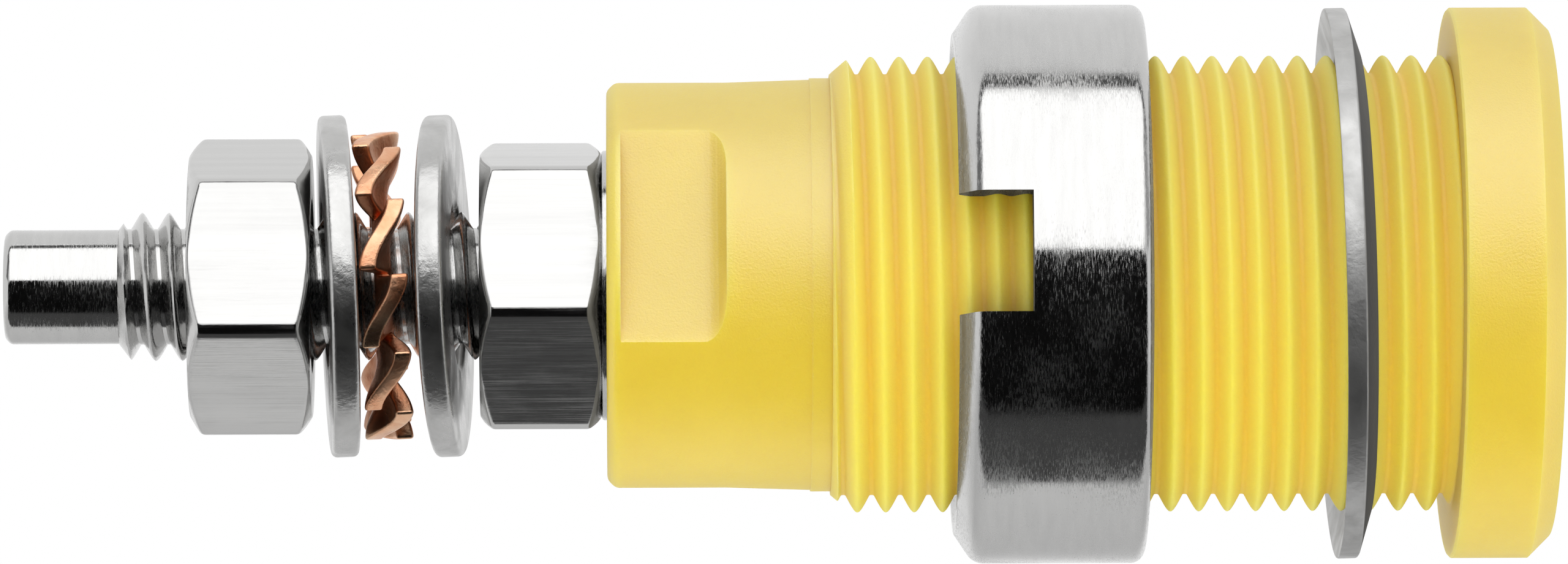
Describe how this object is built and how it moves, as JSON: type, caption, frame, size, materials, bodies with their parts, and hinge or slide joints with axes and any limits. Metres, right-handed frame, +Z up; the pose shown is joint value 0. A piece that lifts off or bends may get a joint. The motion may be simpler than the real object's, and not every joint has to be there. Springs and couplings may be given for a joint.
{
  "type": "safety banana socket",
  "caption": "Panel-mounting safety socket for 4 mm plugs: yellow threaded insulator with a flange, round nut and dished washer, and a threaded stud with hexagon nuts, washers and a fan washer.",
  "frame": {"origin": "centre of the flange's back face, which seats on the panel", "axes": "+X along the socket's axis, out of the plug opening; +Z up"},
  "size_m": [0.0406, 0.0146, 0.0148],
  "materials": {
    "yellow_insulator": "moulded polyamide, satin, slightly translucent",
    "nickel_contact": "turned brass, nickel plated",
    "nickel_nut": "drawn hexagon bar, nickel plated, fine grain along the axis",
    "nickel_washer": "stamped, nickel plated",
    "nickel_turned": "turned brass, nickel plated, fine lines round the axis",
    "copper_spring": "copper-coloured spring bronze"
  },
  "bodies": {
    "socket": {"insulator": "yellow_insulator", "contact_stud": "nickel_contact", "clamp_nut": "nickel_nut"},
    "inner_washer": {"inner_washer": "nickel_washer"},
    "fan_washer": {"fan_washer": "copper_spring"},
    "outer_washer": {"outer_washer": "nickel_washer"},
    "terminal_nut": {"terminal_nut": "nickel_nut"},
    "panel_washer": {"panel_washer": "nickel_washer"},
    "ring_nut": {"ring_nut": "nickel_turned"}
  },
  "joints": [
    {"name": "outer_washer_slide", "type": "slide", "parent": "socket", "child": "outer_washer", "axis": [1, 0, 0], "range_m": [-0.00159, 0.00041]},
    {"name": "terminal_nut_turn", "type": "hinge", "parent": "outer_washer", "child": "terminal_nut", "pos_m": [-0.0315, 0, 0], "axis": [1, 0, 0], "range_deg": [-821, 211]},
    {"name": "fan_washer_slide", "type": "slide", "parent": "socket", "child": "fan_washer", "axis": [1, 0, 0], "range_m": [-0.00148, 0.00038]},
    {"name": "inner_washer_slide", "type": "slide", "parent": "socket", "child": "inner_washer", "axis": [1, 0, 0], "range_m": [-0.00091, 0.00024]},
    {"name": "panel_washer_slide", "type": "slide", "parent": "socket", "child": "panel_washer", "axis": [1, 0, 0], "range_m": [-0.00308, 0.00208]},
    {"name": "ring_nut_turn", "type": "hinge", "parent": "panel_washer", "child": "ring_nut", "pos_m": [-0.0105, 0, 0], "axis": [1, 0, 0], "range_deg": [-1481, 1001]}
  ],
  "couplings": [
    {"joint": "terminal_nut_turn", "follows": "outer_washer_slide", "rad_per_m": 8976},
    {"joint": "fan_washer_slide", "follows": "outer_washer_slide", "ratio": 0.92857},
    {"joint": "inner_washer_slide", "follows": "outer_washer_slide", "ratio": 0.57143},
    {"joint": "ring_nut_turn", "follows": "panel_washer_slide", "rad_per_m": 8377.6}
  ]
}
